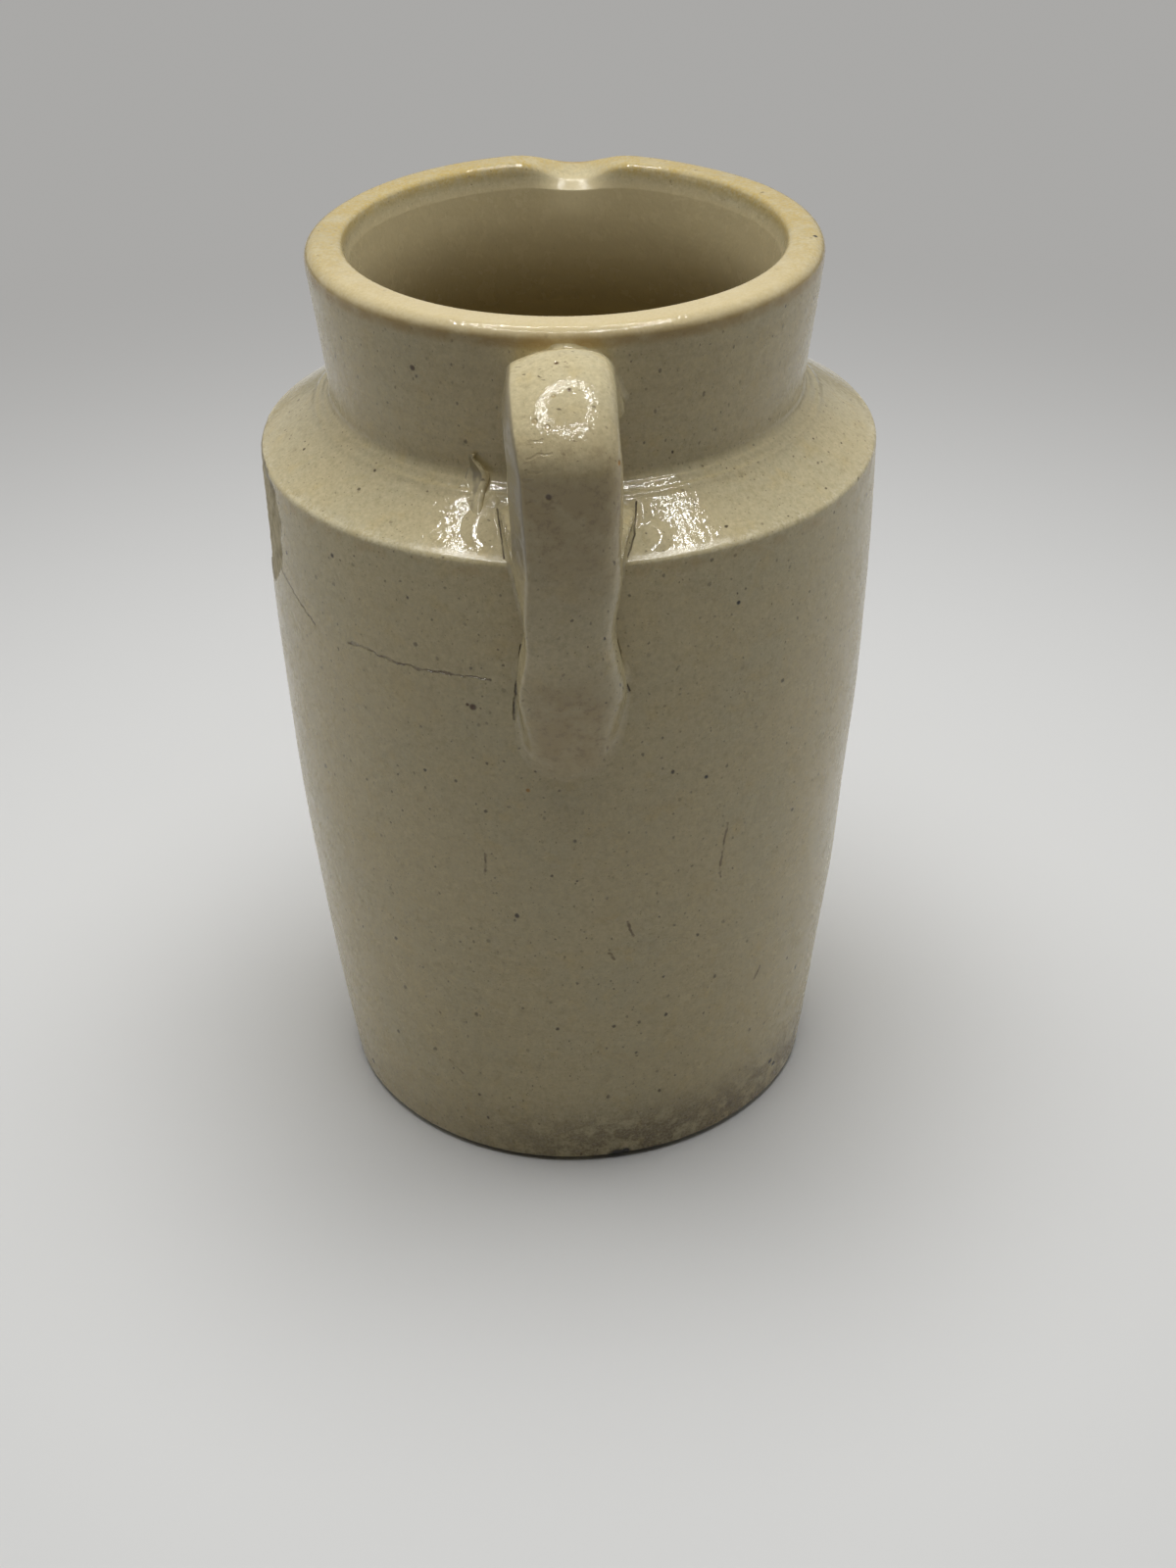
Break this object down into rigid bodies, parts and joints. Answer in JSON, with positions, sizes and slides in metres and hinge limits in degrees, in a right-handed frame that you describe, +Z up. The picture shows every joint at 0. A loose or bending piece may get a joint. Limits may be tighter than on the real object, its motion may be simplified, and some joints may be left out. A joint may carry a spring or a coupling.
{
  "type": "stoneware cream jug",
  "caption": "Small glazed stoneware cream jug: bowed body, sloping shoulder, flared neck with a pinched pouring lip and a luted strap handle.",
  "frame": {"origin": "centre of the flat base, on the ground", "axes": "+Z up along the pot's axis, -Y towards the handle, +Y towards the pouring lip"},
  "size_m": [0.062, 0.0699, 0.0951],
  "materials": {
    "cream_glaze": "speckled cream glaze, glossy",
    "strap_glaze": "speckled cream glaze, glossy",
    "neck_slip": "glazed slip",
    "shoulder_slip": "glazed slip",
    "terminal_slip": "glazed slip",
    "burr_slip": "rough dry slip"
  },
  "bodies": {
    "root": {"thrown_body": "cream_glaze", "strap_handle": "strap_glaze", "neck_luting_slip": "neck_slip", "shoulder_luting_slip": "shoulder_slip", "terminal_luting_slip": "terminal_slip", "slip_burr": "burr_slip"}
  },
  "joints": []
}
